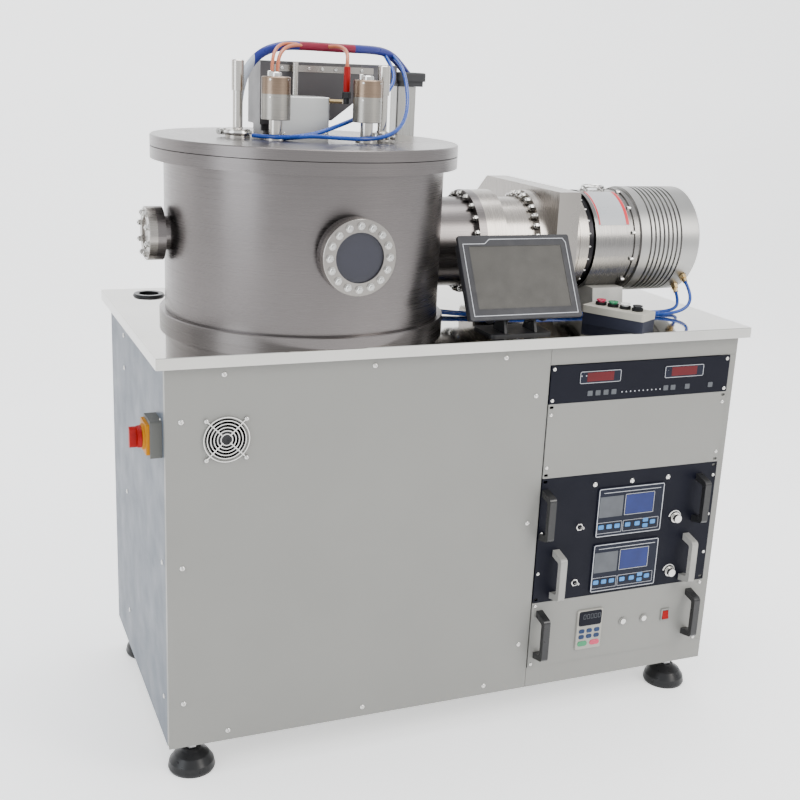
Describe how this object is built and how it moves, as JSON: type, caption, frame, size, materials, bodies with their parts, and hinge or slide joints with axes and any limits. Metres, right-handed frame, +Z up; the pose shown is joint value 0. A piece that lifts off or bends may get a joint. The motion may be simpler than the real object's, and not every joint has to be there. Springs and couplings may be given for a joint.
{
  "type": "sputter coater",
  "caption": "Floor-standing sputter coater: cabinet with rack units, steel chamber with lifting lid, swing valve and turbomolecular pump, tilting operator panel.",
  "frame": {"origin": "on the floor, below the middle of the whole machine's outline without its free hoses", "axes": "+X to the right seen from the front, +Y to the back, +Z up; the rack panels face -Y"},
  "size_m": [1.44, 0.75, 1.508],
  "materials": {
    "arm_paint": "satin",
    "black_button": "glossy",
    "bright_wire": "bright",
    "button_chrome": "bright",
    "cabinet_paint": "satin powder coat",
    "chamber_steel": "brushed",
    "column_steel": "polished",
    "dark_plastic": "matt",
    "display_plastic": "glossy",
    "fitting_brass": "bright",
    "foot_rubber": "semi-gloss",
    "frame_paint": "satin",
    "green_button": "glossy",
    "grommet": "matt",
    "handle_plastic": "semi-gloss",
    "hmi_plastic": "matt",
    "hmi_screen": "glossy",
    "hub_steel": "brushed",
    "knob_metal": "turned",
    "port_glass": "clear",
    "pump_aluminium": "turned",
    "pump_steel": "brushed",
    "rack_paint": "satin",
    "red_button": "glossy",
    "rocker_red": "glossy",
    "saddle_plastic": "matt",
    "seal": "matt",
    "side_paint": "satin powder coat",
    "source_bronze": "anodised",
    "stage_steel": "satin",
    "station": "matt",
    "switch_plastic": "glossy",
    "switch_red": "glossy",
    "white_button": "glossy",
    "worktop_steel": "polished"
  },
  "bodies": {
    "cabinet": {"button_station": "station", "cabinet_frame": "frame_paint", "cable_grommet": "grommet", "chamber_base": "chamber_steel", "chamber_body": "chamber_steel", "chamber_flange": "chamber_steel", "control_unit": "cabinet_paint", "duct_spool": "chamber_steel", "fan_frame": "dark_plastic", "fan_guard": "bright_wire", "front_panels": "cabinet_paint", "gauge_unit": "rack_paint", "hmi_stand": "dark_plastic", "levelling_feet": "foot_rubber", "lid_seal": "seal", "lift_column": "column_steel", "panel_displays": "display_plastic", "port_flanges": "chamber_steel", "power_units": "rack_paint", "pump_adapter": "pump_steel", "pump_casing": "pump_steel", "pump_jacket": "pump_aluminium", "pump_saddle": "saddle_plastic", "rack_handles": "handle_plastic", "side_panels": "side_paint", "switch_housing": "switch_plastic", "valve_housing": "chamber_steel", "viewport_glass": "port_glass", "water_fittings": "fitting_brass", "worktop": "worktop_steel"},
    "lid": {"chamber_lid": "chamber_steel", "hub_cover": "hub_steel", "lift_arm": "arm_paint", "lift_slider": "column_steel", "source_heads": "source_bronze", "lid_feedthroughs": "chamber_steel"},
    "operator_panel": {"hmi_case": "hmi_plastic", "hmi_screen": "hmi_screen"},
    "shutter_left": {"shutter_left": "stage_steel"},
    "shutter_right": {"shutter_right": "stage_steel"},
    "switch_knob": {"switch_knob": "switch_red"},
    "red_button": {"red_button": "red_button"},
    "green_button": {"green_button": "green_button"},
    "white_button": {"white_button": "white_button"},
    "black_button": {"black_button": "black_button"},
    "start_button": {"start_button": "button_chrome"},
    "stop_button": {"stop_button": "button_chrome"},
    "rocker": {"rocker": "rocker_red"},
    "power_knob_upper": {"power_knob_upper": "knob_metal"},
    "power_knob_lower": {"power_knob_lower": "knob_metal"},
    "toggle_upper": {"toggle_upper": "button_chrome"},
    "toggle_lower": {"toggle_lower": "button_chrome"},
    "fan_rotor": {"fan_rotor": "dark_plastic"},
    "pump_rotor": {"pump_rotor": "pump_aluminium"},
    "sample_stage": {"sample_stage": "stage_steel"},
    "valve_disc": {"valve_disc": "stage_steel"}
  },
  "joints": [
    {"name": "lid_lift", "type": "slide", "parent": "cabinet", "child": "lid", "axis": [0, 0, 1], "range_m": [0, 0.3]},
    {"name": "shutter_left_turn", "type": "hinge", "parent": "lid", "child": "shutter_left", "pos_m": [-0.447, -0.035, 1.4], "axis": [0, 0, 1], "range_deg": [-90, 0]},
    {"name": "shutter_right_turn", "type": "hinge", "parent": "lid", "child": "shutter_right", "pos_m": [-0.132, -0.063, 1.4], "axis": [0, 0, 1], "range_deg": [0, 90]},
    {"name": "panel_tilt", "type": "hinge", "parent": "cabinet", "child": "operator_panel", "pos_m": [0.127, -0.2589, 0.9892], "axis": [1, 0, 0], "range_deg": [-10, 15]},
    {"name": "isolator_turn", "type": "hinge", "parent": "cabinet", "child": "switch_knob", "pos_m": [-0.7, -0.239, 0.772], "axis": [-1, 0, 0], "range_deg": [0, 90]},
    {"name": "fan_spin", "type": "hinge", "parent": "cabinet", "child": "fan_rotor", "pos_m": [-0.537, -0.291, 0.774], "axis": [0, -1, 0], "continuous": true},
    {"name": "pump_spin", "type": "hinge", "parent": "cabinet", "child": "pump_rotor", "pos_m": [0.511, -0.01, 1.119], "axis": [1, 0, 0], "continuous": true},
    {"name": "stage_turn", "type": "hinge", "parent": "cabinet", "child": "sample_stage", "pos_m": [-0.289, -0.01, 1], "axis": [0, 0, 1], "continuous": true},
    {"name": "valve_swing", "type": "hinge", "parent": "cabinet", "child": "valve_disc", "pos_m": [0.304, 0.06, 0.984], "axis": [-1, 0, 0], "range_deg": [0, 84]},
    {"name": "rocker_tip", "type": "hinge", "parent": "cabinet", "child": "rocker", "pos_m": [0.5777, -0.3102, 0.22365], "axis": [-1, 0, 0], "range_deg": [0, 13]},
    {"name": "knob_upper_turn", "type": "hinge", "parent": "cabinet", "child": "power_knob_upper", "pos_m": [0.5747, -0.316, 0.484], "axis": [0, -1, 0], "range_deg": [-140, 140]},
    {"name": "toggle_upper_throw", "type": "hinge", "parent": "cabinet", "child": "toggle_upper", "pos_m": [0.3077, -0.309, 0.488], "axis": [1, 0, 0], "range_deg": [0, 26]},
    {"name": "knob_lower_turn", "type": "hinge", "parent": "cabinet", "child": "power_knob_lower", "pos_m": [0.5747, -0.316, 0.342], "axis": [0, -1, 0], "range_deg": [-140, 140]},
    {"name": "toggle_lower_throw", "type": "hinge", "parent": "cabinet", "child": "toggle_lower", "pos_m": [0.3077, -0.309, 0.346], "axis": [1, 0, 0], "range_deg": [0, 26]},
    {"name": "red_press", "type": "slide", "parent": "cabinet", "child": "red_button", "axis": [0, 0, -1], "range_m": [0, 0.003], "stiffness_N_per_m": 400, "springref_m": -0.002},
    {"name": "green_press", "type": "slide", "parent": "cabinet", "child": "green_button", "axis": [0, 0, -1], "range_m": [0, 0.003], "stiffness_N_per_m": 400, "springref_m": -0.002},
    {"name": "white_press", "type": "slide", "parent": "cabinet", "child": "white_button", "axis": [0, 0, -1], "range_m": [0, 0.003], "stiffness_N_per_m": 400, "springref_m": -0.002},
    {"name": "black_press", "type": "slide", "parent": "cabinet", "child": "black_button", "axis": [0, 0, -1], "range_m": [0, 0.003], "stiffness_N_per_m": 400, "springref_m": -0.002},
    {"name": "start_press", "type": "slide", "parent": "cabinet", "child": "start_button", "axis": [0, 1, 0], "range_m": [0, 0.002], "stiffness_N_per_m": 400, "springref_m": -0.002},
    {"name": "stop_press", "type": "slide", "parent": "cabinet", "child": "stop_button", "axis": [0, 1, 0], "range_m": [0, 0.002], "stiffness_N_per_m": 400, "springref_m": -0.002}
  ]
}
